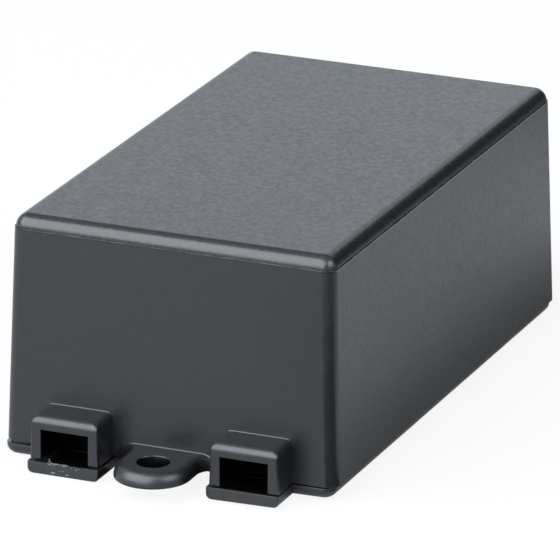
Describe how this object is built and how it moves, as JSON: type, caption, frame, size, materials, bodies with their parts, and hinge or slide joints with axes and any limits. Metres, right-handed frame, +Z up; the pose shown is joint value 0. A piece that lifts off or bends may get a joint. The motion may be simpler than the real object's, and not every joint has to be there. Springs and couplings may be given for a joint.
{
  "type": "plastic project box",
  "caption": "Small plastic project box: a moulded cover with cable outlets and screw ears over a push-fit base plate.",
  "frame": {"origin": "under the middle of the base plate, on the flat face that the box stands on", "axes": "+Z up through the roof, +Y along the box away from the cable outlets, +X across it to the right as seen from the outlets"},
  "size_m": [0.0492, 0.1048, 0.0345],
  "materials": {
    "base_plastic": "smooth satin moulded plastic",
    "cover_plastic": "fine spark-eroded matte texture"
  },
  "bodies": {
    "base": {"base_plate": "base_plastic"},
    "top": {"cover": "cover_plastic"}
  },
  "joints": [
    {"name": "cover_lift", "type": "slide", "parent": "base", "child": "top", "axis": [0, 0, 1], "range_m": [0, 0.04]}
  ]
}
